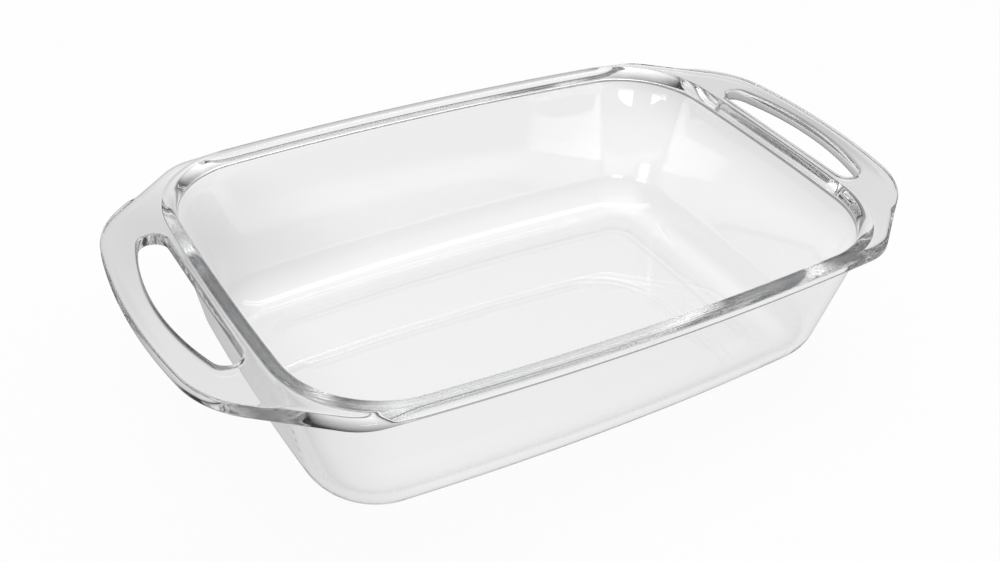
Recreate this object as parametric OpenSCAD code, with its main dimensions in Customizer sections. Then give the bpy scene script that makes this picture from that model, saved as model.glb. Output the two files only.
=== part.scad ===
// Rectangular roasting dish of clear pressed glass: four bowed walls on a rounded heel,
// a thick rim round the mouth and a flat loop handle with a finger slot on each short side.
// Millimetres. +Z is up, +X is along the dish, and the origin is the middle of the foot.
//
// The dish is one pressing. It is drawn as the zones that have a section of their own, which
// meet face to face. Every zone is a section drawn outward from the mouth line and turned about
// the centres of that line's arcs: a long bow, a short bow and four corners.

/* [Bowl] */
// Length over both handles
overall_l = 400; // [380:1:420]
// Width of the mouth between the walls, at the middle
mouth_w = 211; // [200:1:224]
// Height from the foot to the crown of the rim
dish_h = 85; // [70:1:96]
// Radius of the long walls' bow, seen from above
long_bow_r = 1570; // [1400:10:3000]
// Radius of the short walls' bow, seen from above
short_bow_r = 1310; // [1000:10:2500]
// Radius of the corners of the flat floor, seen from above
floor_corner_r = 11; // [6:0.5:14]
// Thickness of the walls
wall_t = 4.8; // [4:0.2:5.6]
// Lean of the walls, in degrees from upright
wall_draft = 12.5; // [10:0.5:14]
// Outer radius of the heel, where a wall rounds into the floor
heel_r = 26; // [22:1:30]
// Flat margin between the heel and the floor
heel_foot = 1; // [0.5:0.1:3]

/* [Floor] */
// Thickness of the floor
floor_t = 5; // [4:0.2:7]
// Width of the ring that the dish stands on
foot_ring_w = 8; // [5:0.5:14]
// Depth of the shallow recess inside the standing ring
recess_h = 0.8; // [0.4:0.1:1.6]
// Radius of the recess's corners
recess_corner_r = 12; // [6:1:24]

/* [Rim] */
// Width of the rim outward from the mouth line
rim_w = 9.1; // [9.1:0.1:11]
// Thickness of the rim, from its crown to its underside
rim_t = 7.4; // [7:0.2:9]
// Radius of the rim's inner top edge
lip_in_r = 5; // [3:0.2:5]
// Radius of the rim's outer top edge
lip_out_r = 4; // [2.4:0.2:4]
// Radius of the rim's lower outer edge
lip_edge_r = 1; // [0.5:0.1:1.6]
// Radius of the fillet between the walls and the rim
root_r = 2.5; // [1:0.5:3]

/* [Handles] */
// Reach of the handles from the mouth line to the grips' outer edge
handle_reach = 44; // [41:0.5:48]
// Depth of the handles' top face under the rim's crown
handle_drop = 0.8; // [0.4:0.1:1.4]
// Radius of the grips' outer edge, seen from above
grip_bow_r = 291; // [240:1:400]
// Radius of the bend between a grip and its haunch
grip_corner_r = 48; // [40:1:54]
// Slope of the straight haunches, in degrees from the long axis
haunch_slope = 38.8; // [37:0.2:41]
// Width of the flat outside the rim's corners at the haunches
haunch_w = 6.2; // [5:0.2:7.4]
// Radius of the bend between a haunch and the long side
haunch_corner_r = 31; // [27:1:34]
// Width of the grip at the middle
grip_w = 12.2; // [10:0.2:14]
// Width of the flat between the rim and the finger slot
slot_web = 2.9; // [1.6:0.1:4]
// Radius of the finger slot's ends, as a share of the slot's width
slot_end_share = 0.32; // [0.26:0.01:0.4]
// Width of the flat between the slot's ends and the haunches' outer edge
haunch_land = 22.6; // [19:0.2:26]

/* [Hidden] */

// Overrun of every cut
cut = 1;
// How far a wedge reaches past its circle, as a share of the radius
reach_share = 2;
// Steps of a full turn for a bend and for a bow
bend_steps = 120;
bow_steps = 1080;
half_turn = 180;
glass = [0.86, 0.93, 0.93, 0.6];

mouth_a = overall_l / 2 - handle_reach;
mouth_b = mouth_w / 2;
lean = tan(wall_draft);
level_t = wall_t / cos(wall_draft);
under_z = dish_h - rim_t;
plate_z = dish_h - handle_drop;
lip_z = dish_h - lip_in_r;
heel_in_r = heel_r - floor_t;

// Outward place of each wall face at a height, measured from the mouth line
function wall_in(z) = -lean * (lip_z - z);
function wall_out(z) = wall_in(z) + level_t;

// A heel's centre lies on its own radius from the floor and from the wall's face
heel_out_x = wall_out(heel_r) - heel_r / cos(wall_draft);
heel_in_x = wall_in(heel_r) - heel_in_r / cos(wall_draft);
floor_x = min(heel_out_x, heel_in_x) - heel_foot;
mouth_corner_r = floor_corner_r - floor_x;

// Where the rim's outer rounding comes down to the handles' top face
join_turn = asin((lip_out_r - handle_drop) / lip_out_r);
join_x = rim_w - lip_out_r + lip_out_r * cos(join_turn);

function dir(turn) = [cos(turn), sin(turn)];
function turn_of(v) = atan2(v.y, v.x);
function flip(v) = [v.x, -v.y];

// Centre of a corner of radius r that touches a long bow and a short bow from inside
function corner_of(a, b, r, long_r, short_r) =
    let (p = [0, b - long_r], q = [a - short_r, 0], v = q - p, d = norm(v))
    let (s = long_r - r, t = short_r - r, u = (s * s - t * t + d * d) / (2 * d))
    p + v * u / d + [v.y, -v.x] * sqrt(s * s - u * u) / d;

// Point at distance t along the normal n, and at distance s from p, on the side of away
function on_line(n, t, p, s, away) =
    let (m = [n.y, -n.x], h = t - n * p)
    t * n + m * (m * p + away * sqrt(s * s - h * h));

// The mouth line: centres of its bows and of its first corner, and the turns where they meet
long_c = [0, mouth_b - long_bow_r];
short_c = [mouth_a - short_bow_r, 0];
corner_c = corner_of(mouth_a, mouth_b, mouth_corner_r, long_bow_r, short_bow_r);
long_turn = turn_of(corner_c - long_c);
short_turn = turn_of(corner_c - short_c);

// A handle's outline: long side, bend, straight haunch, bend, grip
haunch_turn = 90 - haunch_slope;
haunch_n = dir(haunch_turn);
haunch_d = haunch_n * corner_c + mouth_corner_r + rim_w + haunch_w;
side_r = long_bow_r + rim_w;
haunch_c = on_line(haunch_n, haunch_d - haunch_corner_r, long_c, side_r - haunch_corner_r, -1);
grip_c = [overall_l / 2 - grip_bow_r, 0];
bend_c = on_line(haunch_n, haunch_d - grip_corner_r, grip_c, grip_bow_r - grip_corner_r, 1);
side_turn = turn_of(haunch_c - long_c);
grip_turn = turn_of(bend_c - grip_c);

// A finger slot: a straight side by the rim, round ends that leave a flat of equal width at the
// haunches, and the bow that touches both ends and leaves the grip its width at the middle
slot_x = mouth_a + join_x + slot_web;
slot_far_x = overall_l / 2 - grip_w;
slot_end_r = slot_end_share * (slot_far_x - slot_x);
slot_end_x = slot_x + slot_end_r;
slot_end_y = (haunch_d - haunch_land - slot_end_r - haunch_n.x * slot_end_x) / haunch_n.y;
slot_end_c = [slot_end_x, slot_end_y];
slot_rise = slot_far_x - slot_end_x;
slot_bow_r = (slot_rise * slot_rise + slot_end_y * slot_end_y - slot_end_r * slot_end_r)
             / (2 * (slot_rise - slot_end_r));
slot_c = [slot_far_x - slot_bow_r, 0];
slot_turn = turn_of(slot_end_c - slot_c);

// Flat shapes, each made by cutting, so that it comes out as one face

// What a round corner of radius r about c takes away between two turns
module nook(c, r, from, to, reach = 0) {
    far = max(reach, r * reach_share);
    difference() {
        polygon([c, c + far * dir(from), c + far * dir((from + to) / 2), c + far * dir(to)]);
        translate(c) circle(r, $fn = bend_steps);
    }
}

module bow(c, r) {
    translate(c) circle(r, $fn = bow_steps);
}

// Rectangle with bowed sides and round corners
module bowed_plan(a, b, r, long_r, short_r) {
    c = corner_of(a, b, r, long_r, short_r);
    difference() {
        intersection() {
            square([2 * a, 2 * b], center = true);
            bow([0, b - long_r], long_r);
            bow([0, long_r - b], long_r);
            bow([a - short_r, 0], short_r);
            bow([short_r - a, 0], short_r);
        }
        four_corners() nook(c, r, turn_of(c - [a - short_r, 0]), turn_of(c - [0, b - long_r]));
    }
}

// Plan of the dish at an outward distance x from the mouth line
module plan_at(x) {
    bowed_plan(mouth_a + x, mouth_b + x, mouth_corner_r + x, long_bow_r + x, short_bow_r + x);
}

// Outline of one end of the dish, from the rim's corners to the grip
module end_plan() {
    side_bend = (side_turn - haunch_turn) / 2;
    grip_bend = (haunch_turn - grip_turn) / 2;
    half = [corner_c, long_c + (side_r + rim_w) * dir(long_turn),
            haunch_c + haunch_corner_r / cos(side_bend) * dir(haunch_turn + side_bend),
            bend_c + grip_corner_r / cos(grip_bend) * dir(grip_turn + grip_bend)];
    tip = grip_c + [grip_bow_r / cos(grip_turn), 0];
    difference() {
        intersection() {
            polygon(concat(half, [tip], [for (i = [len(half) - 1:-1:0]) flip(half[i])]));
            bow(long_c, side_r);
            bow(flip(long_c), side_r);
            bow(grip_c, grip_bow_r);
        }
        for (my = [0, 1])
            mirror([0, my]) {
                nook(haunch_c, haunch_corner_r, haunch_turn, side_turn);
                nook(bend_c, grip_corner_r, grip_turn, haunch_turn);
            }
    }
}

module slot_plan() {
    difference() {
        intersection() {
            translate([slot_x, -slot_bow_r]) square(2 * slot_bow_r);
            bow(slot_c, slot_bow_r);
        }
        for (my = [0, 1])
            mirror([0, my]) nook(slot_end_c, slot_end_r, slot_turn, half_turn, slot_bow_r);
    }
}

// Sections, drawn outward (x) and upward (y) from the mouth line

// All that lies inside one face of a wall, from the floor zone to above the rim's underside
module face_section(face_x, heel_x, r, low, top) {
    c = [heel_x, low + r];
    lift = top - under_z;
    toe = c + r / cos(45 - wall_draft / 2) * dir(-45 - wall_draft / 2);
    difference() {
        polygon([[floor_x - cut, low], toe, [face_x + lean * lift, top], [floor_x - cut, top]]);
        nook(c, r, -90, -wall_draft);
    }
}

module wall_section() {
    root_c = [wall_out(under_z - root_r) + root_r / cos(wall_draft), under_z - root_r];
    toe = [heel_out_x, heel_r]
          + heel_r / cos(45 - wall_draft / 2) * dir(-45 - wall_draft / 2);
    difference() {
        polygon([[floor_x, 0], toe, root_c + root_r * dir(half_turn - wall_draft), root_c,
                 [root_c.x, under_z], [floor_x, under_z]]);
        nook([heel_out_x, heel_r], heel_r, -90, -wall_draft);
        translate(root_c) circle(root_r, $fn = bend_steps);
        face_section(wall_in(under_z), heel_in_x, heel_in_r, floor_t, under_z + cut);
    }
}

// Rim section. A joined rim stops where a handle takes over from its outer rounding
module rim_section(joined) {
    out_x = joined ? join_x : rim_w;
    difference() {
        polygon([[wall_in(under_z), under_z], [0, lip_z], [0, dish_h], [out_x, dish_h],
                 [out_x, under_z]]);
        nook([lip_in_r, lip_z], lip_in_r, 90, half_turn);
        nook([rim_w - lip_out_r, dish_h - lip_out_r], lip_out_r, 0, 90);
        if (!joined)
            nook([rim_w - lip_edge_r, under_z + lip_edge_r], lip_edge_r, -90, 0);
    }
}

// Sweeps

// Turns a section about c at radius r between two turns
module sweep(c, r, from, to, steps = bend_steps) {
    translate(c) rotate_extrude(start = from, angle = to - from, $fn = steps)
        translate([r, 0]) children();
}

module long_sweep() {
    sweep(long_c, long_bow_r, long_turn, half_turn - long_turn, bow_steps) children();
}

module short_sweep() {
    sweep(short_c, short_bow_r, -short_turn, short_turn, bow_steps) children();
}

module corner_sweep() {
    sweep(corner_c, mouth_corner_r, short_turn, long_turn) children();
}

module four_corners() {
    for (mx = [0, 1])
        for (my = [0, 1])
            mirror([mx, 0]) mirror([0, my]) children();
}

// Zones of the dish

module floor() {
    inner = floor_x - foot_ring_w;
    color(glass) difference() {
        linear_extrude(floor_t) plan_at(floor_x);
        translate([0, 0, -cut]) linear_extrude(recess_h + cut)
            bowed_plan(mouth_a + inner, mouth_b + inner, recess_corner_r,
                       long_bow_r + inner, short_bow_r + inner);
    }
}

module back_wall() {
    color(glass) long_sweep() wall_section();
}

module front_wall() {
    color(glass) mirror([0, 1]) long_sweep() wall_section();
}

module right_wall() {
    color(glass) short_sweep() wall_section();
}

module left_wall() {
    color(glass) mirror([1, 0]) short_sweep() wall_section();
}

module corner_walls() {
    color(glass) four_corners() corner_sweep() wall_section();
}

module back_rim() {
    color(glass) long_sweep() rim_section(false);
}

module front_rim() {
    color(glass) mirror([0, 1]) long_sweep() rim_section(false);
}

module right_rim() {
    color(glass) short_sweep() rim_section(true);
}

module left_rim() {
    color(glass) mirror([1, 0]) short_sweep() rim_section(true);
}

module corner_rims() {
    color(glass) four_corners() corner_sweep() rim_section(true);
}

module right_handle() {
    color(glass) translate([0, 0, under_z]) linear_extrude(plate_z - under_z) difference() {
        end_plan();
        slot_plan();
        plan_at(join_x);
    }
}

module left_handle() {
    mirror([1, 0]) right_handle();
}

floor();
front_wall();
back_wall();
left_wall();
right_wall();
corner_walls();
front_rim();
back_rim();
left_rim();
right_rim();
corner_rims();
left_handle();
right_handle();
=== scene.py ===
"""Clear pressed-glass roasting dish on a white studio table."""

import logging
import math
from dataclasses import dataclass, field
from enum import Enum

import bmesh
import bpy
import numpy as np
from mathutils import Matrix


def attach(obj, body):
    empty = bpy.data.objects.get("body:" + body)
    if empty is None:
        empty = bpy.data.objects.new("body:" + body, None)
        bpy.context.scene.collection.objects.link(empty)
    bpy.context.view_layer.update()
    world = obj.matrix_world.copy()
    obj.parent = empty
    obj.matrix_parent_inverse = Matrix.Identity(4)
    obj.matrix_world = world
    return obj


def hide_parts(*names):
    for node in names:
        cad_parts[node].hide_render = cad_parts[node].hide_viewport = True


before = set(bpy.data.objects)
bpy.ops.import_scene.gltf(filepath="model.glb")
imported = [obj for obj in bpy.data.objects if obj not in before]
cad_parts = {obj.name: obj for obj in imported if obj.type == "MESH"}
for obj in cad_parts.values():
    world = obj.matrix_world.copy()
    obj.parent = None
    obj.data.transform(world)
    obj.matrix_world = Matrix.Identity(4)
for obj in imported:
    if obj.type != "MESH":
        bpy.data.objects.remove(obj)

log = logging.getLogger("dish")

MM = 0.001
QUARTER = math.pi / 2.0

# Rows in the table of one arc or line
TABLE_ROWS = 900

# The least length that a vector is divided by, in millimetres
TINY_MM = 1e-9

# Points closer than this are one point, and edges shorter than this are dissolved
MERGE_M = 2e-6
SLIVER_M = 1e-6

# Light is led along the rim and down the walls by many reflections
MOST_BOUNCES = 256
GLASS_BOUNCES = 128


def unit(turn: np.ndarray) -> np.ndarray:
    """Unit vectors (cos turn, sin turn), stacked in the last axis, for turns in radians."""
    return np.stack([np.cos(turn), np.sin(turn)], -1)


def smooth_step(x: np.ndarray, low: float, high: float) -> np.ndarray:
    """Smooth climb 3s^2 - 2s^3 from 0 at low to 1 at high."""
    s = np.clip((x - low) / (high - low), 0.0, 1.0)
    return s * s * (3.0 - 2.0 * s)


def turn_of(v: np.ndarray) -> float:
    """Turn of a plane vector in radians."""
    return math.atan2(v[1], v[0])


def flat(points: np.ndarray, z: float) -> np.ndarray:
    """Plane points on one level as a single column."""
    return np.concatenate([points, np.full((len(points), 1), z)], -1)[:, None]


def between(a: np.ndarray, b: np.ndarray, count: int) -> np.ndarray:
    """Columns evenly spaced strictly between two single columns."""
    s = np.linspace(0.0, 1.0, count + 2)[1:-1][None, :, None]
    return a + (b - a) * s


def smooth_ramp(
    tree: bpy.types.NodeTree,
    value: bpy.types.NodeSocket,
    span: tuple[float, float],
    levels: tuple[float, float],
) -> bpy.types.NodeSocket:
    """Node that climbs smoothly from one level to another over a span of a value.

    Args:
        tree: the node tree that the node is made in.
        value: the socket that drives it.
        span: the values where the climb starts and ends.
        levels: the levels before and after the climb.

    Returns:
        The socket with the level.
    """
    node = tree.nodes.new("ShaderNodeMapRange")
    node.interpolation_type = "SMOOTHSTEP"
    for name, number in zip(("From Min", "From Max", "To Min", "To Max"), span + levels):
        node.inputs[name].default_value = number
    tree.links.new(value, node.inputs["Value"])
    return node.outputs["Result"]


class Operation(Enum):
    """What a math node does with two numbers."""

    ADD = "ADD"
    MULTIPLY = "MULTIPLY"
    LEAST = "MINIMUM"
    MOST = "MAXIMUM"


def reckon(
    tree: bpy.types.NodeTree,
    kind: Operation,
    a: bpy.types.NodeSocket,
    b: bpy.types.NodeSocket,
) -> bpy.types.NodeSocket:
    """Result of one operation on two sockets, as a new math node."""
    node = tree.nodes.new("ShaderNodeMath")
    node.operation = kind.value
    tree.links.new(a, node.inputs[0])
    tree.links.new(b, node.inputs[1])
    return node.outputs[0]


class Strip(Enum):
    """The grids that a quarter of the glass is made of."""

    TOP = "floor, inside, crown and rim side of the handle"
    GRIP = "grip side of the handle, all round its edge"
    UNDER = "underside of the rim, outside and foot"
    SLOT_RIM = "finger slot's wall by the rim"
    SLOT_GRIP = "finger slot's wall by the grip"


@dataclass(frozen=True)
class BowedRectangle:
    """A rectangle with bowed sides and round corners, all arcs meeting on one tangent.

    Every point is found from the turn of its outward normal, so curves of this kind match
    one another point by point whatever their sizes.
    """

    half_length: float
    half_width: float
    corner_r: float
    long_r: float
    short_r: float

    @property
    def long_centre(self) -> np.ndarray:
        """Centre of the long side's bow."""
        return np.array([0.0, self.half_width - self.long_r])

    @property
    def short_centre(self) -> np.ndarray:
        """Centre of the short side's bow."""
        return np.array([self.half_length - self.short_r, 0.0])

    @property
    def corner_centre(self) -> np.ndarray:
        """Centre of the first corner: it lies one corner radius inside both bows."""
        p, q = self.long_centre, self.short_centre
        s, t = self.long_r - self.corner_r, self.short_r - self.corner_r
        v = q - p
        d = float(np.hypot(*v))
        u = (s * s - t * t + d * d) / (2.0 * d)
        return p + v * u / d + np.array([v[1], -v[0]]) * math.sqrt(s * s - u * u) / d

    @property
    def turns(self) -> tuple[float, float]:
        """Turns of the normal where the corner meets the short and the long bow."""
        centre = self.corner_centre
        return turn_of(centre - self.short_centre), turn_of(centre - self.long_centre)

    def offset(self, x: float) -> "BowedRectangle":
        """The same curve moved outward by x."""
        return BowedRectangle(
            self.half_length + x,
            self.half_width + x,
            self.corner_r + x,
            self.long_r + x,
            self.short_r + x,
        )

    def at(self, turn: np.ndarray) -> np.ndarray:
        """Points of the first quadrant whose outward normals have the given turns.

        Args:
            turn: turns of the normal in radians, from 0 to a quarter turn.

        Returns:
            An array of points: arc centre plus arc radius times the normal.
        """
        low, high = self.turns
        zone = np.where(turn < low, 0, np.where(turn > high, 2, 1))
        centres = np.array([self.short_centre, self.corner_centre, self.long_centre])
        radii = np.array([self.short_r, self.corner_r, self.long_r])
        return centres[zone] + radii[zone][:, None] * unit(turn)


@dataclass(frozen=True)
class Route:
    """A plan curve as a dense table of points with the normal at each."""

    points: np.ndarray
    normals: np.ndarray

    @staticmethod
    def join(parts: list[tuple[np.ndarray, np.ndarray]]) -> "Route":
        """Joins parts, each a pair of points and normals, end to end."""
        return Route(
            np.concatenate([p for p, _ in parts]),
            np.concatenate([n for _, n in parts]),
        )

    @staticmethod
    def arc(
        centre: np.ndarray, radius: float, start: float, end: float, count: int = TABLE_ROWS
    ) -> tuple[np.ndarray, np.ndarray]:
        """Arc about a centre: points centre + radius * normal for evenly spaced turns."""
        n = unit(np.linspace(start, end, count))
        return centre + radius * n, n

    @staticmethod
    def line(
        start: np.ndarray, end: np.ndarray, normal: np.ndarray, count: int = TABLE_ROWS
    ) -> tuple[np.ndarray, np.ndarray]:
        """Straight run from start to end with one normal."""
        s = np.linspace(0.0, 1.0, count)[:, None]
        return start + s * (end - start), np.repeat(normal[None], count, 0)

    @property
    def length(self) -> np.ndarray:
        """Length along the route at each of its points."""
        step = np.hypot(*np.diff(self.points, axis=0).T)
        return np.concatenate([[0.0], np.cumsum(step)])

    def seen_from(
        self, centre: np.ndarray, turn: np.ndarray, grow: float = 0.0
    ) -> tuple[np.ndarray, np.ndarray, np.ndarray]:
        """Where rays from a centre cross the route grown along its normals.

        Args:
            centre: the point that the rays leave.
            turn: turns of the rays in radians.
            grow: distance that the route is moved along its normals first.

        Returns:
            Points of the route itself, unit normals there, and lengths along it.
        """
        moved = self.points + grow * self.normals - centre
        seen = np.arctan2(moved[:, 1], moved[:, 0])
        order = np.argsort(seen, kind="stable")
        table = np.column_stack([self.points, self.normals, self.length])[order]
        out = np.column_stack([np.interp(turn, seen[order], c) for c in table.T])
        n = out[:, 2:4] / np.linalg.norm(out[:, 2:4], axis=1, keepdims=True)
        return out[:, :2], n, out[:, 4]


@dataclass(frozen=True)
class Stations:
    """Places along a quarter of the mouth line where the section is drawn.

    Turn holds the turns of the mouth line's normal, line its points and normal its
    normals. Cross is how many of the stations cross the finger slot.
    """

    turn: np.ndarray
    cross: int
    line: np.ndarray
    normal: np.ndarray

    def swept(self, x: np.ndarray, z: np.ndarray) -> np.ndarray:
        """Carries a section along the mouth line: line + x * normal, at height z."""
        x = np.broadcast_to(x, (len(self.turn), np.shape(x)[-1]))
        z = np.broadcast_to(z, x.shape)
        plan = self.line[:, None] + x[..., None] * self.normal[:, None]
        return np.concatenate([plan, z[..., None]], -1)


@dataclass(frozen=True)
class Edge:
    """The handle's outer edge at each station: where it is and how its top is rounded.

    Radius is that of the upper rounding, and start is the angle on it where the rounding
    begins.
    """

    points: np.ndarray
    normals: np.ndarray
    radius: np.ndarray
    start: np.ndarray


@dataclass(frozen=True)
class Fineness:
    """How many steps or columns each run of the surface has."""

    slot: int = 50
    side: int = 12
    corner: int = 46
    long_side: int = 24
    slot_end_rows: int = 2400
    spokes: int = 10
    heel_in: int = 22
    wall_in: int = 8
    lip: int = 14
    crown: int = 10
    dip: int = 7
    rim_side: int = 3
    grip_side: int = 4
    edge_top: int = 12
    edge_face: int = 2
    edge_low: int = 8
    root: int = 8
    wall_out: int = 9
    heel_out: int = 24
    foot: int = 2
    recess: int = 15
    slot_bend: int = 8


@dataclass(frozen=True)
class GlassFinish:
    """Clear pressed glass, smooth, with the faint waviness that a mould leaves."""

    name: str = "clear_pressed_glass"
    clearness: tuple[float, float, float] = (0.0, 0.03, 0.06)
    loss_per_m: float = 0.6
    ior: float = 1.5
    roughness: float = 0.0
    ripple_per_m: float = 22.0
    ripple_height_m: float = 0.00004

    def build(self) -> bpy.types.Material:
        """Makes the glass material: Principled glass with a low ripple as bump."""
        material = bpy.data.materials.new(self.name)
        material.use_nodes = True
        nodes, links = material.node_tree.nodes, material.node_tree.links
        shader = nodes["Principled BSDF"]
        shader.inputs["Base Color"].default_value = (1.0, 1.0, 1.0, 1.0)
        shader.inputs["Metallic"].default_value = 0.0
        shader.inputs["IOR"].default_value = self.ior
        shader.inputs["Transmission Weight"].default_value = 1.0
        shader.inputs["Roughness"].default_value = self.roughness
        where = nodes.new("ShaderNodeTexCoord")
        ripple = nodes.new("ShaderNodeTexNoise")
        ripple.inputs["Scale"].default_value = self.ripple_per_m
        ripple.inputs["Detail"].default_value = 1.0
        bump = nodes.new("ShaderNodeBump")
        bump.inputs["Distance"].default_value = self.ripple_height_m
        bump.inputs["Strength"].default_value = 1.0
        links.new(where.outputs["Object"], ripple.inputs["Vector"])
        links.new(ripple.outputs["Fac"], bump.inputs["Height"])
        links.new(bump.outputs["Normal"], shader.inputs["Normal"])
        loss = nodes.new("ShaderNodeVolumeAbsorption")
        loss.inputs["Color"].default_value = (*self.clearness, 1.0)
        loss.inputs["Density"].default_value = self.loss_per_m
        links.new(loss.outputs["Volume"], nodes["Material Output"].inputs["Volume"])
        return material


@dataclass
class GlassDish:
    """The whole pressing as one seamless surface. Sizes in millimetres.

    The surface is a set of grids. One parameter is the station, the turn of the mouth
    line's normal, and the other runs along the section from the middle of the floor, up
    the inside, over the rim, out across the handle, and back under to the foot. At a
    finger slot the section splits into a rim side and a grip side, joined by the slot's
    rounded walls.
    """

    overall_l: float = 400.0
    handle_reach: float = 44.0
    mouth_w: float = 211.0
    height: float = 85.0
    long_bow_r: float = 1570.0
    short_bow_r: float = 1310.0
    floor_corner_r: float = 11.0
    wall_t: float = 4.8
    draft: float = math.radians(12.5)
    heel_r: float = 26.0
    floor_t: float = 5.0
    heel_foot: float = 1.0
    foot_ring_w: float = 8.0
    recess_h: float = 0.8
    recess_corner_r: float = 12.0
    recess_slope_w: float = 12.0
    rim_w: float = 9.1
    rim_t: float = 7.4
    lip_in_r: float = 5.0
    lip_out_r: float = 4.0
    lip_edge_r: float = 1.0
    root_r: float = 2.5
    handle_drop: float = 0.8
    grip_bow_r: float = 291.0
    grip_corner_r: float = 48.0
    haunch_slope: float = math.radians(38.8)
    haunch_w: float = 6.2
    haunch_corner_r: float = 31.0
    grip_w: float = 12.2
    slot_web: float = 2.9
    slot_end_share: float = 0.32
    haunch_land: float = 22.6
    crisp_r: float = 1.2
    soft_share: float = 0.72
    soft_blend_w: float = 5.0
    valley_w: float = 0.7
    valley_share: float = 0.45
    outline_lap: float = 0.01
    steps: Fineness = field(default_factory=Fineness)
    finish: GlassFinish = field(default_factory=GlassFinish)

    def __post_init__(self) -> None:
        """Works out the levels, the heels and the curves that share them."""
        self.lean = math.tan(self.draft)
        self.under_z = self.height - self.rim_t
        self.plate_z = self.height - self.handle_drop
        self.lip_z = self.height - self.lip_in_r
        self.heel_in_r = self.heel_r - self.floor_t
        slant = math.cos(self.draft)
        self.heel_out_x = self.wall_out(self.heel_r) - self.heel_r / slant
        self.heel_in_x = self.wall_in(self.heel_r) - self.heel_in_r / slant
        self.floor_x = min(self.heel_out_x, self.heel_in_x) - self.heel_foot
        self.join_turn = math.asin(1.0 - self.handle_drop / self.lip_out_r)
        self.join_x = self.rim_w - self.lip_out_r * (1.0 - math.cos(self.join_turn))
        self.mouth = BowedRectangle(
            self.overall_l / 2.0 - self.handle_reach,
            self.mouth_w / 2.0,
            self.floor_corner_r - self.floor_x,
            self.long_bow_r,
            self.short_bow_r,
        )
        self.outline = self._outline()
        self.slot = self._slot()

    def wall_in(self, z: float | np.ndarray) -> float | np.ndarray:
        """Outward place of the wall's inner face at a height."""
        return -self.lean * (self.lip_z - z)

    def wall_out(self, z: float) -> float:
        """Outward place of the wall's outer face at a height."""
        return self.wall_in(z) + self.wall_t / math.cos(self.draft)

    @staticmethod
    def _on_line(n: np.ndarray, t: float, p: np.ndarray, s: float, away: float) -> np.ndarray:
        """Point at distance t along the normal n and at distance s from p."""
        m = np.array([n[1], -n[0]])
        h = t - float(n @ p)
        return t * n + m * (float(m @ p) + away * math.sqrt(s * s - h * h))

    def _outline(self) -> Route:
        """Handle outline in the first quadrant: grip, bend, haunch, bend, long side.

        It also keeps the haunch's line and the point on it where the edge turns soft.
        """
        long_c, corner_c = self.mouth.long_centre, self.mouth.corner_centre
        side_r = self.mouth.long_r + self.rim_w
        haunch = QUARTER - self.haunch_slope
        n = np.array([math.cos(haunch), math.sin(haunch)])
        reach = float(n @ corner_c) + self.mouth.corner_r + self.rim_w + self.haunch_w
        self.haunch_n, self.haunch_d = n, reach
        haunch_c = self._on_line(
            n, reach - self.haunch_corner_r, long_c, side_r - self.haunch_corner_r, -1.0
        )
        grip_c = np.array([self.overall_l / 2.0 - self.grip_bow_r, 0.0])
        bend_c = self._on_line(
            n, reach - self.grip_corner_r, grip_c, self.grip_bow_r - self.grip_corner_r, 1.0
        )
        grip, side = turn_of(bend_c - grip_c), turn_of(haunch_c - long_c)
        foot, head = haunch_c + self.haunch_corner_r * n, bend_c + self.grip_corner_r * n
        self.soft_point = foot + self.soft_share * (head - foot)
        return Route.join(
            [
                Route.arc(grip_c, self.grip_bow_r, 0.0, grip),
                Route.arc(bend_c, self.grip_corner_r, grip, haunch),
                Route.line(head, foot, n),
                Route.arc(haunch_c, self.haunch_corner_r, haunch, side),
                Route.arc(long_c, side_r, side, self.mouth.turns[1] + self.outline_lap),
            ]
        )

    def _slot(self) -> Route:
        """Upper half of the finger slot, from its side by the rim to its side by the grip."""
        x = self.mouth.half_length + self.join_x + self.slot_web
        far_x = self.overall_l / 2.0 - self.grip_w
        end_r = self.slot_end_share * (far_x - x)
        end_d = self.haunch_d - self.haunch_land - end_r
        end_y = (end_d - self.haunch_n[0] * (x + end_r)) / self.haunch_n[1]
        end_c = np.array([x + end_r, end_y])
        rise = far_x - end_c[0]
        bow_r = (rise**2 + end_y**2 - end_r**2) / (2.0 * (rise - end_r))
        bow_c = np.array([far_x - bow_r, 0.0])
        turn = turn_of(end_c - bow_c)
        inward = np.array([-1.0, 0.0])
        return Route.join(
            [
                Route.line(np.array([x, 0.0]), np.array([x, end_y]), inward),
                Route.arc(end_c, end_r, math.pi, turn, self.steps.slot_end_rows),
                Route.arc(bow_c, bow_r, turn, 0.0),
            ]
        )

    def _slot_halves(self, turn: np.ndarray) -> tuple[np.ndarray, ...]:
        """Points and normals of the slot's rim side and grip side at some stations.

        Args:
            turn: turns of the stations, up to the slot's tip.

        Returns:
            Rim-side points and normals, then grip-side points and normals.
        """
        tip = self._slot_tip()[1]
        near = Route(self.slot.points[: tip + 1], self.slot.normals[: tip + 1])
        far = Route(self.slot.points[tip:], self.slot.normals[tip:])
        eye = self.mouth.short_centre
        a, na, _ = near.seen_from(eye, turn, self.crisp_r)
        b, nb, _ = far.seen_from(eye, turn, self.crisp_r)
        return a, na, b, nb

    def _slot_tip(self) -> tuple[float, int]:
        """Turn of the slot's tip seen from the short bow's centre, and its table row."""
        moved = self.slot.points + self.crisp_r * self.slot.normals - self.mouth.short_centre
        seen = np.arctan2(moved[:, 1], moved[:, 0])
        row = int(np.argmax(seen))
        return float(seen[row]), row

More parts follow.
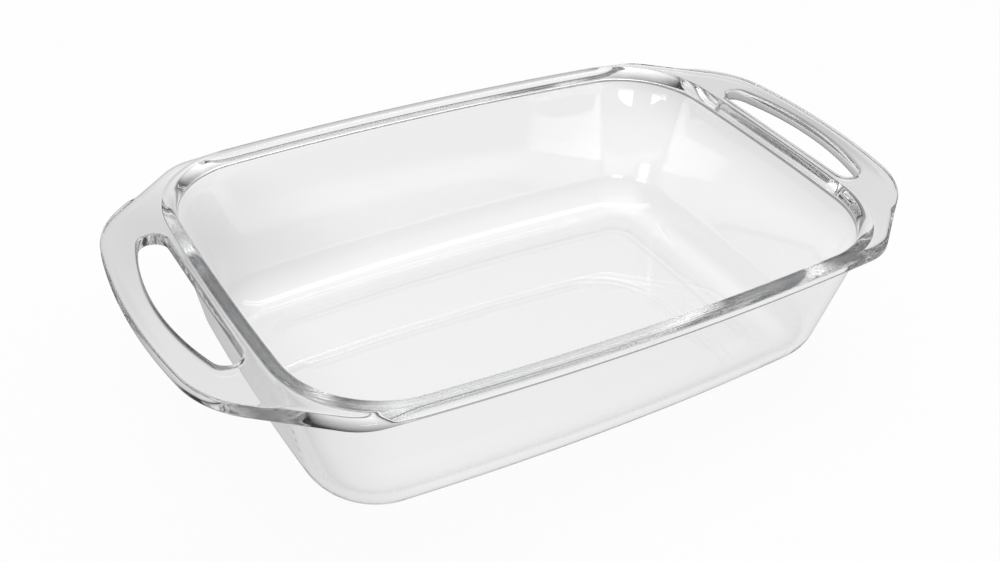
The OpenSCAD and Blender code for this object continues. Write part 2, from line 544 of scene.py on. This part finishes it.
    def stations(self) -> Stations:
        """Stations of the first quadrant.

        Stations crowd towards the slot's tip as the sine of an even parameter, so that
        its round end is followed evenly.
        """
        low, high = self.mouth.turns
        tip = self._slot_tip()[0]
        k = np.linspace(0.0, 1.0, self.steps.slot + 1)
        slot = tip * np.sin(QUARTER * k)
        side = np.linspace(tip, low, self.steps.side + 1)[1:]
        corner = np.linspace(low, high, self.steps.corner + 1)[1:]
        long = np.linspace(high, QUARTER, self.steps.long_side + 1)[1:]
        turn = np.concatenate([slot, side, corner, long])
        return Stations(turn, len(slot), self.mouth.at(turn), unit(turn))

    def _edge(self, at: Stations) -> Edge:
        """Outer edge: the outline's point and normal met by each station's ray.

        Its upper rounding is soft round the rim and the first part of a haunch, and crisp
        on the handle.
        """
        turn, line, n = at.turn, at.line, at.normal
        low, high = self.mouth.turns
        short, long = turn <= low, turn > high
        eye_points = [
            self.outline.seen_from(self.mouth.short_centre, turn),
            self.outline.seen_from(self.mouth.corner_centre, turn),
        ]
        edge, edge_n, run = (
            np.where(short.reshape((-1,) + (1,) * (a.ndim - 1)), a, b)
            for a, b in zip(*eye_points)
        )
        edge = np.where(long[:, None], line + self.rim_w * n, edge)
        edge_n = np.where(long[:, None], n, edge_n)
        width = np.einsum("ij,ij->i", edge - line, n)
        away = np.hypot(*(self.outline.points - self.soft_point).T)
        middle = self.outline.length[int(np.argmin(away))]
        blend = smooth_step(run, middle - self.soft_blend_w, middle + self.soft_blend_w)
        blend = np.where(long, 1.0, blend)
        radius = self.crisp_r + (self.lip_out_r - self.crisp_r) * blend
        start = np.arccos(np.clip(1.0 - (width - self.join_x) / radius, 0.0, 1.0))
        return Edge(edge, edge_n, radius, start)

    def _split(self, at: Stations, edge: Edge) -> tuple[np.ndarray, np.ndarray, np.ndarray]:
        """Plan points where the section splits into a rim side and a grip side.

        Args:
            at: the stations.
            edge: the outer edge at the stations.

        Returns:
            Where the crown meets the handle's top face, the end of the rim side, and the
            start of the grip side. Past the slot's tip the last two are the same.
        """
        cross = at.cross
        inset = edge.points - (edge.radius * (1.0 - np.cos(edge.start)))[:, None] * edge.normals
        near, near_n, far, far_n = self._slot_halves(at.turn[:cross])
        join = at.line + self.join_x * at.normal
        tip = near[-1] + self.crisp_r * near_n[-1]
        span = inset[cross - 1] - join[cross - 1]
        share = float((tip - join[cross - 1]) @ span / (span @ span))
        split = join + share * (inset - join)
        near_top, far_top = split.copy(), split.copy()
        near_top[:cross] = near + self.crisp_r * near_n
        far_top[:cross] = far + self.crisp_r * far_n
        far_top[cross - 1] = near_top[cross - 1]
        return join, near_top, far_top

    @property
    def _spokes(self) -> np.ndarray:
        """Shares of the way from the floor's middle to its rounding, the end left out."""
        return np.linspace(0.0, 1.0, self.steps.spokes)[:-1]

    def _top_side(self, at: Stations, join: np.ndarray, near_top: np.ndarray) -> np.ndarray:
        """Grid of the floor, heel, wall, lip, crown, valley and top face up to the slot.

        The valley where the crown meets the handle is a quadratic curve whose middle point
        is the sharp corner: (1 - q)^2 start + 2 q (1 - q) corner + q^2 end.

        Args:
            at: the stations.
            join: where the crown meets the handle's top face.
            near_top: where the rim side ends.

        Returns:
            An array of stations by columns by x, y, z.
        """
        heel = np.linspace(-QUARTER, -self.draft, self.steps.heel_in)
        lip = np.linspace(math.pi, QUARTER, self.steps.lip)
        inner_x = self.heel_in_x + self.heel_in_r * np.cos(heel)
        inner_z = self.heel_r + self.heel_in_r * np.sin(heel)
        rise = np.linspace(inner_z[-1], self.lip_z, self.steps.wall_in)[1:-1]
        lip_x = self.lip_in_r + self.lip_in_r * np.cos(lip)
        lip_z = self.lip_z + self.lip_in_r * np.sin(lip)
        inside = at.swept(
            np.concatenate([inner_x, self.wall_in(rise), lip_x]),
            np.concatenate([inner_z, rise, lip_z]),
        )
        floor = [inside[:, :1] * np.array([s, s, 1.0]) for s in self._spokes]
        out_dir = near_top - join
        room = np.linalg.norm(out_dir, axis=1)
        valley = np.minimum(self.valley_w, self.valley_share * room)
        from_turn = self.join_turn + valley / self.lip_out_r
        s = np.linspace(0.0, 1.0, self.steps.crown)
        arc = QUARTER + (from_turn - QUARTER)[:, None] * s
        crown_x = self.rim_w - self.lip_out_r + self.lip_out_r * np.cos(arc)
        crown_z = self.height - self.lip_out_r + self.lip_out_r * np.sin(arc)
        crown = at.swept(crown_x, crown_z)
        start, corner = crown[:, -1:], flat(join, self.plate_z)
        out_dir = out_dir / np.maximum(room, TINY_MM)[:, None]
        end = flat(join + valley[:, None] * out_dir, self.plate_z)
        q = np.linspace(0.0, 1.0, self.steps.dip)[None, 1:, None]
        dip = (1 - q) ** 2 * start + 2 * q * (1 - q) * corner + q**2 * end
        last = flat(near_top, self.plate_z)
        rest = between(dip[:, -1:], last, self.steps.rim_side)
        return np.concatenate([*floor, inside, crown, dip, rest, last], axis=1)

    def _grip_side(self, edge: Edge, far_top: np.ndarray) -> np.ndarray:
        """Grid of the handle's top face from the slot, its rounded edge and its underside."""
        points, normals, radius = edge.points[:, None], edge.normals[:, None], edge.radius
        arc = edge.start[:, None] * np.linspace(1.0, 0.0, self.steps.edge_top)
        centre_z = self.plate_z - radius * np.sin(edge.start)
        top = points - (radius[:, None] * (1 - np.cos(arc)))[..., None] * normals
        top_z = centre_z[:, None] + radius[:, None] * np.sin(arc)
        top = np.concatenate([top, top_z[..., None]], -1)
        low_arc = np.linspace(0.0, -QUARTER, self.steps.edge_low)
        low = points - (self.lip_edge_r * (1 - np.cos(low_arc)))[:, None] * normals
        low_z = self.under_z + self.lip_edge_r * (1.0 + np.sin(low_arc))
        low = np.concatenate([low, np.broadcast_to(low_z[:, None], low.shape[:2] + (1,))], -1)
        first, last = flat(far_top, self.plate_z), flat(far_top, self.under_z)
        return np.concatenate(
            [
                first,
                between(first, top[:, :1], self.steps.grip_side),
                top,
                between(top[:, -1:], low[:, :1], self.steps.edge_face),
                low,
                between(low[:, -1:], last, self.steps.grip_side),
                last,
            ],
            axis=1,
        )

    def _under_side(self, at: Stations, near_top: np.ndarray) -> np.ndarray:
        """Grid of the rim's underside, fillet, outer wall, heel, standing ring and recess."""
        steps = self.steps
        root_x = self.wall_out(self.under_z - self.root_r) + self.root_r / math.cos(self.draft)
        root = np.linspace(QUARTER, math.pi - self.draft, steps.root)
        out_heel = np.linspace(-self.draft, -QUARTER, steps.heel_out)
        heel_x = self.heel_out_x + self.heel_r * np.cos(out_heel)
        heel_z = self.heel_r + self.heel_r * np.sin(out_heel)
        root_xs = root_x + self.root_r * np.cos(root)
        root_zs = self.under_z - self.root_r + self.root_r * np.sin(root)
        fall = np.linspace(root_zs[-1], heel_z[0], steps.wall_out)[1:-1]
        fall_x = self.wall_out(0.0) + self.lean * fall
        outside = at.swept(
            np.concatenate([root_xs, fall_x, heel_x]), np.concatenate([root_zs, fall, heel_z])
        )
        ring_x = self.floor_x - self.foot_ring_w
        recess = BowedRectangle(
            self.mouth.half_length + ring_x,
            self.mouth.half_width + ring_x,
            self.recess_corner_r,
            self.mouth.long_r + ring_x,
            self.mouth.short_r + ring_x,
        )
        slope = [
            flat(
                recess.offset(self.recess_slope_w * (0.5 - s)).at(at.turn),
                self.recess_h * float(smooth_step(s, 0.0, 1.0)),
            )
            for s in np.linspace(0.0, 1.0, steps.recess)
        ]
        floor = [slope[-1] * np.array([s, s, 1.0]) for s in self._spokes[::-1]]
        first = flat(near_top, self.under_z)
        rim = between(first, outside[:, :1], steps.rim_side)
        foot = between(outside[:, -1:], slope[0], steps.foot)
        return np.concatenate([first, rim, outside, foot, *slope, *floor], axis=1)

    def _slot_walls(self, at: Stations) -> tuple[np.ndarray, np.ndarray]:
        """Grids of the finger slot's rim-side and grip-side walls.

        A wall is base + grow * normal, with a quarter round at its upper and lower edge.
        """
        bend = np.linspace(0.0, QUARTER, self.steps.slot_bend)
        run, rise = self.crisp_r * (1 - np.sin(bend)), self.crisp_r * (1 - np.cos(bend))
        grow = np.concatenate([run, rise])[None, :, None]
        height = np.concatenate([self.plate_z - rise, self.under_z + run])[None, :, None]

        def wall(base: np.ndarray, normal: np.ndarray) -> np.ndarray:
            """One wall from its base points and their normals."""
            plan = base[:, None] + grow * normal[:, None]
            return np.concatenate([plan, np.broadcast_to(height, plan.shape[:2] + (1,))], -1)

        near, near_n, far, far_n = self._slot_halves(at.turn[: at.cross])
        near_wall, far_wall = wall(near, near_n), wall(far, far_n)
        far_wall[-1] = near_wall[-1]
        return near_wall, far_wall

    def quadrant(self) -> dict[Strip, np.ndarray]:
        """Grids of the first quadrant, each an array of stations by columns by x, y, z."""
        at = self.stations()
        edge = self._edge(at)
        join, near_top, far_top = self._split(at, edge)
        near_wall, far_wall = self._slot_walls(at)
        return {
            Strip.TOP: self._top_side(at, join, near_top),
            Strip.GRIP: self._grip_side(edge, far_top),
            Strip.UNDER: self._under_side(at, near_top),
            Strip.SLOT_RIM: near_wall,
            Strip.SLOT_GRIP: far_wall,
        }

    def mesh(self) -> bpy.types.Mesh:
        """Joins the quadrants into one closed mesh.

        The first quadrant is mirrored across both middle planes. Faces of a mirrored grid
        are listed in the other order, and points that fall together are merged.
        """
        grids = self.quadrant()
        verts: list[np.ndarray] = []
        faces: list[np.ndarray] = []
        count = 0
        for sx, sy in ((1, 1), (-1, 1), (-1, -1), (1, -1)):
            for strip, grid in grids.items():
                rows, cols = grid.shape[:2]
                index = np.arange(rows * cols).reshape(rows, cols) + count
                quad = np.stack(
                    [index[:-1, :-1], index[1:, :-1], index[1:, 1:], index[:-1, 1:]], -1
                ).reshape(-1, 4)
                if (sx * sy < 0) != (strip is Strip.SLOT_GRIP):
                    quad = quad[:, ::-1]
                verts.append((grid * np.array([sx, sy, 1.0])).reshape(-1, 3))
                faces.append(quad)
                count += rows * cols
        points = np.concatenate(verts) * MM
        quads = np.concatenate(faces)
        mesh = bpy.data.meshes.new("glass_dish")
        mesh.from_pydata(points.tolist(), [], quads.tolist())
        shape = bmesh.new()
        shape.from_mesh(mesh)
        bmesh.ops.remove_doubles(shape, verts=shape.verts, dist=MERGE_M)
        bmesh.ops.dissolve_degenerate(shape, edges=shape.edges, dist=SLIVER_M)
        bmesh.ops.recalc_face_normals(shape, faces=shape.faces)
        shape.to_mesh(mesh)
        open_edges = sum(1 for e in shape.edges if not e.is_manifold)
        shape.free()
        log.info("glass dish: %d faces, %d open edges", len(mesh.polygons), open_edges)
        mesh.shade_smooth()
        return mesh

    def build(self) -> bpy.types.Object:
        """Makes the dish, dresses it, and puts it in place of the solids."""
        dish = bpy.data.objects.new("glass_dish", self.mesh())
        bpy.context.scene.collection.objects.link(dish)
        dish.data.materials.append(self.finish.build())
        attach(dish, "root")
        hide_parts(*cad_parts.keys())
        return dish


@dataclass(frozen=True)
class Sheet:
    """The white sheet under the dish, and how light the glass finds it.

    To the camera it is white with a soft shadow. Rays that have passed the glass find it glowing
    light gray near the dish.
    Painted shade makes it a third as light beyond its two ends and far away. There is one
    painted pool of light behind the far right-hand corner, and one spot of painted shade at the
    far left.
    Rays that the glass has mirrored find it darker still, a painted shade in its reflections.
    """

    half_m: float = 3.0
    gap_m: float = 0.0002
    paper: tuple[float, float, float] = (0.93, 0.93, 0.93)
    roughness: float = 0.9
    glow_share: float = 0.93
    # Levels of the painted glow: painted light near the dish, painted shade beyond the ends and
    # far away
    middle: float = 0.9
    ends: float = 0.86
    # A painted pool of light on the sheet behind the far right-hand corner, which the glass
    # shows as a bright area on its far and right walls
    painted_light: float = 0.06
    painted_light_place_m: tuple[float, float] = (0.18, 0.14)
    painted_light_r_m: float = 0.07
    far: float = 0.34
    far_place_m: tuple[float, float] = (0.06, 0.11)
    left_m: tuple[float, float] = (-0.15, -0.085)
    right_m: tuple[float, float] = (0.21, 0.27)
    far_m: tuple[float, float] = (0.27, 0.38)
    left_end_m: tuple[float, float] = (-0.2, -0.155)
    left_end: float = 0.34
    right_end_m: tuple[float, float] = (0.288, 0.33)
    right_end: float = 0.34
    # Painted shade in reflections: rays that the glass has mirrored find the glow at this share
    mirrored: float = 0.55
    # A spot of painted shade on the sheet at the far left, which darkens the glass's far left
    # corner
    painted_shade: float = -0.16
    painted_shade_place_m: tuple[float, float] = (-0.112, 0.15)
    painted_shade_r_m: float = 0.1

    def glow(self, tree: bpy.types.NodeTree) -> bpy.types.NodeSocket:
        """Brightness that the glass finds on the sheet, from the sheet's own coordinates.

        Args:
            tree: the node tree that the nodes are made in.

        Returns:
            A socket with the painted glow: left * right * min(far, left end, right end) +
                painted light + painted shade.
        """
        nodes, links = tree.nodes, tree.links
        where = nodes.new("ShaderNodeTexCoord").outputs["Object"]
        split = nodes.new("ShaderNodeSeparateXYZ")
        links.new(where, split.inputs[0])

        x = split.outputs["X"]

        def around(
            place: tuple[float, float], span: tuple[float, float], levels: tuple[float, float]
        ) -> bpy.types.NodeSocket:
            """Level that changes over a span of the distance from a place."""
            node = nodes.new("ShaderNodeVectorMath")
            node.operation = "DISTANCE"
            node.inputs[1].default_value = (*place, 0.0)
            links.new(where, node.inputs[0])
            return smooth_ramp(tree, node.outputs["Value"], span, levels)

        # Painted shade: the glow is lower past the two ends and far from the dish
        left = smooth_ramp(tree, x, self.left_m, (self.ends, 1.0))
        right = smooth_ramp(tree, x, self.right_m, (1.0, self.ends))
        far = around(self.far_place_m, self.far_m, (self.middle, self.far))
        # Painted pool of light behind the far right-hand corner
        painted_light = around(self.painted_light_place_m, (0.0, self.painted_light_r_m), (self.painted_light, 0.0))
        # Spot of painted shade at the far left
        painted_shade = around(self.painted_shade_place_m, (0.0, self.painted_shade_r_m), (self.painted_shade, 0.0))
        left_end = smooth_ramp(tree, x, self.left_end_m, (self.left_end, 1.0))
        right_end = smooth_ramp(tree, x, self.right_end_m, (1.0, self.right_end))
        ends = reckon(tree, Operation.LEAST, left_end, right_end)
        sides = reckon(tree, Operation.MULTIPLY, left, right)
        shade = reckon(tree, Operation.MULTIPLY, sides, reckon(tree, Operation.LEAST, far, ends))
        return reckon(tree, Operation.ADD, reckon(tree, Operation.ADD, shade, painted_light), painted_shade)

    def finish(self) -> bpy.types.Material:
        """Paper that is white to the camera and has the glow's levels to the glass."""
        material = bpy.data.materials.new("white_paper")
        material.use_nodes = True
        tree = material.node_tree
        nodes, links = tree.nodes, tree.links
        shader = nodes["Principled BSDF"]
        shader.inputs["Base Color"].default_value = (*self.paper, 1.0)
        shader.inputs["Roughness"].default_value = self.roughness
        shader.inputs["Specular IOR Level"].default_value = 0.0
        path = nodes.new("ShaderNodeLightPath").outputs
        # white is the evenly white sheet for the camera; seen carries the painted light and
        # shade for rays that the glass has bent or mirrored
        white = nodes.new("ShaderNodeEmission")
        seen = nodes.new("ShaderNodeEmission")
        # Painted shade in reflections: the glow drops to the mirrored share unless the ray last
        # passed through the glass
        mirrored = nodes.new("ShaderNodeMapRange")
        mirrored.inputs["To Min"].default_value = self.mirrored
        mirrored.inputs["To Max"].default_value = 1.0
        links.new(path["Is Transmission Ray"], mirrored.inputs["Value"])
        level = reckon(tree, Operation.MULTIPLY, self.glow(tree), mirrored.outputs["Result"])
        links.new(level, seen.inputs["Strength"])
        bent = reckon(tree, Operation.MOST, path["Is Transmission Ray"], path["Is Glossy Ray"])
        share = nodes.new("ShaderNodeMath")
        share.operation = Operation.MULTIPLY.value
        share.inputs[1].default_value = self.glow_share
        links.new(path["Is Camera Ray"], share.inputs[0])
        first = nodes.new("ShaderNodeMixShader")
        links.new(share.outputs[0], first.inputs["Fac"])
        links.new(shader.outputs[0], first.inputs[1])
        links.new(white.outputs[0], first.inputs[2])
        second = nodes.new("ShaderNodeMixShader")
        links.new(bent, second.inputs["Fac"])
        links.new(first.outputs[0], second.inputs[1])
        links.new(seen.outputs[0], second.inputs[2])
        links.new(second.outputs[0], nodes["Material Output"].inputs["Surface"])
        return material

    def build(self) -> bpy.types.Object:
        """A flat white sheet just under the dish."""
        h = self.half_m
        mesh = bpy.data.meshes.new("sheet")
        mesh.from_pydata([(-h, -h, 0), (h, -h, 0), (h, h, 0), (-h, h, 0)], [], [(0, 1, 2, 3)])
        sheet = bpy.data.objects.new("sheet", mesh)
        sheet.location = (0.0, 0.0, -self.gap_m)
        bpy.context.scene.collection.objects.link(sheet)
        sheet.data.materials.append(self.finish())
        return sheet


@dataclass
class Studio:
    """The sheet, soft lamps and a room that is white to look at and dark near its floor.

    Room holds pairs of height on the unit sphere and brightness. A dark card dims the room
    on one side, over a span of the direction's share towards it. A strip lamp hangs
    overhead, and two softboxes stand in front of the dish, at turns about it in degrees.
    """

    sheet: Sheet = field(default_factory=Sheet)
    room: tuple[tuple[float, float], ...] = (
        (0.0, 0.0),
        (0.24, 0.03),
        (0.4, 0.34),
        (0.6, 0.7),
        (0.8, 1.0),
        (1.0, 1.9),
    )
    card_towards: tuple[float, float, float] = (-0.829, 0.559, 0.0)
    card_span: tuple[float, float] = (0.3, 0.75)
    card_levels: tuple[float, float] = (1.0, 0.05)
    strip_place_m: tuple[float, float, float] = (0.1, 0.2, 1.3)
    strip_sides_m: tuple[float, float] = (2.2, 0.12)
    strip_watts: float = 2.6
    box_turns: tuple[tuple[str, float], ...] = (("front_right", -108.0), ("front_left", -159.0))
    box_reach_m: float = 1.2
    box_z_m: float = 0.07
    box_sides_m: tuple[float, float] = (0.46, 0.14)
    box_watts: float = 1.0

    def lamp(
        self,
        name: str,
        place: tuple[float, float, float],
        size: tuple[float, float],
        watts: float,
        aim: tuple[float, float, float] = (0.0, 0.0, 0.05),
    ) -> bpy.types.Object:
        """A rectangular soft lamp that faces a point.

        Args:
            name: the lamp's name.
            place: its centre in metres.
            size: its two sides in metres.
            watts: its power.
            aim: the point that it faces.

        Returns:
            The lamp's object.
        """
        data = bpy.data.lights.new(name, "AREA")
        data.shape = "RECTANGLE"
        data.size, data.size_y = size
        data.energy = watts
        lamp = bpy.data.objects.new(name, data)
        bpy.context.scene.collection.objects.link(lamp)
        back = np.array(place) - np.array(aim)
        lamp.matrix_world = look(np.array(place), back, np.array([0.0, 0.0, 1.0]))
        return lamp

    def world(self) -> None:
        """World: white to the camera; to the glass, dark near the floor and light overhead."""
        world = bpy.data.worlds.new("studio")
        bpy.context.scene.world = world
        world.use_nodes = True
        nodes, links = world.node_tree.nodes, world.node_tree.links
        nodes.clear()
        out = nodes.new("ShaderNodeOutputWorld")
        mix = nodes.new("ShaderNodeMixShader")
        path = nodes.new("ShaderNodeLightPath")
        white = nodes.new("ShaderNodeBackground")
        room = nodes.new("ShaderNodeBackground")
        where = nodes.new("ShaderNodeTexCoord")
        split = nodes.new("ShaderNodeSeparateXYZ")
        ramp = nodes.new("ShaderNodeValToRGB")
        white.inputs["Strength"].default_value = 1.0
        links.new(where.outputs["Generated"], split.inputs[0])
        links.new(split.outputs["Z"], ramp.inputs["Fac"])
        steps = ramp.color_ramp.elements
        steps.remove(steps[1])
        for k, (place, level) in enumerate(self.room):
            step = steps[0] if k == 0 else steps.new(place)
            step.position, step.color = place, (level, level, level, 1.0)
        links.new(ramp.outputs["Color"], room.inputs["Color"])
        side = nodes.new("ShaderNodeVectorMath")
        side.operation = "DOT_PRODUCT"
        side.inputs[1].default_value = self.card_towards
        links.new(where.outputs["Generated"], side.inputs[0])
        towards = side.outputs["Value"]
        card = smooth_ramp(world.node_tree, towards, self.card_span, self.card_levels)
        links.new(card, room.inputs["Strength"])
        links.new(path.outputs["Is Camera Ray"], mix.inputs["Fac"])
        links.new(room.outputs[0], mix.inputs[1])
        links.new(white.outputs[0], mix.inputs[2])
        links.new(mix.outputs[0], out.inputs["Surface"])

    def build(self) -> None:
        """Sets the sheet, the world and the three lamps."""
        self.sheet.build()
        self.world()
        self.lamp("overhead", self.strip_place_m, self.strip_sides_m, self.strip_watts)
        reach, z = self.box_reach_m, self.box_z_m
        for name, turn in self.box_turns:
            x, y = math.cos(math.radians(turn)), math.sin(math.radians(turn))
            place = (reach * x, reach * y, z)
            self.lamp(name, place, self.box_sides_m, self.box_watts, (0.0, 0.0, z))


def look(place: np.ndarray, back: np.ndarray, up: np.ndarray) -> Matrix:
    """Placing matrix of a lamp or camera.

    Args:
        place: its position.
        back: the direction from what it looks at to it, its local +Z.
        up: a direction that its local +Y leans to, not along back.

    Returns:
        The 4 by 4 matrix with columns right, up, back and place.
    """
    z = back / np.linalg.norm(back)
    x = np.cross(up, z)
    x = x / np.linalg.norm(x)
    m = np.eye(4)
    m[:3, 0], m[:3, 1], m[:3, 2], m[:3, 3] = x, np.cross(z, x), z, place
    return Matrix(m.tolist())


@dataclass(frozen=True)
class View:
    """The photograph's point of view, about a point under the middle of the mouth."""

    azimuth: float = math.radians(-33.983)
    elevation: float = math.radians(35.875)
    roll: float = math.radians(4.764)
    distance_mm: float = 658.727
    focal_px: float = 1295.09
    frame_px: int = 1000
    sensor_mm: float = 36.0
    nearest_m: float = 0.02
    target_mm: tuple[float, float, float] = (0.0, 0.0, 51.2)
    slide_mm: tuple[float, float] = (-9.191, -12.736)

    def build(self) -> bpy.types.Object:
        """Makes the camera and makes it the scene's."""
        ca, sa = math.cos(self.azimuth), math.sin(self.azimuth)
        ce, se = math.cos(self.elevation), math.sin(self.elevation)
        back = np.array([sa * ce, -ca * ce, se])
        right = np.array([ca, sa, 0.0])
        up = np.cross(back, right)
        place = np.array(self.target_mm) + back * self.distance_mm
        place = place + right * self.slide_mm[0] + up * self.slide_mm[1]
        tilted = -math.sin(self.roll) * right + math.cos(self.roll) * up
        data = bpy.data.cameras.new("camera")
        data.sensor_width = self.sensor_mm
        data.sensor_fit = "HORIZONTAL"
        data.lens = self.focal_px * self.sensor_mm / self.frame_px
        data.clip_start = self.nearest_m
        camera = bpy.data.objects.new("camera", data)
        bpy.context.scene.collection.objects.link(camera)
        camera.matrix_world = look(place * MM, back, tilted)
        bpy.context.scene.camera = camera
        return camera


def main() -> None:
    """Builds the view, the studio and the dish in order."""
    logging.basicConfig(level=logging.INFO, format="%(message)s")
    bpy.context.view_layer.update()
    View().build()
    log.info("camera set")
    Studio().build()
    log.info("studio set")
    dish = GlassDish().build()
    log.info("%s built", dish.name)
    scene = bpy.context.scene
    scene.view_settings.view_transform = "Standard"
    scene.cycles.max_bounces = MOST_BOUNCES
    scene.cycles.glossy_bounces = GLASS_BOUNCES
    scene.cycles.transmission_bounces = GLASS_BOUNCES
    bpy.context.view_layer.update()


if __name__ == "__main__":
    main()
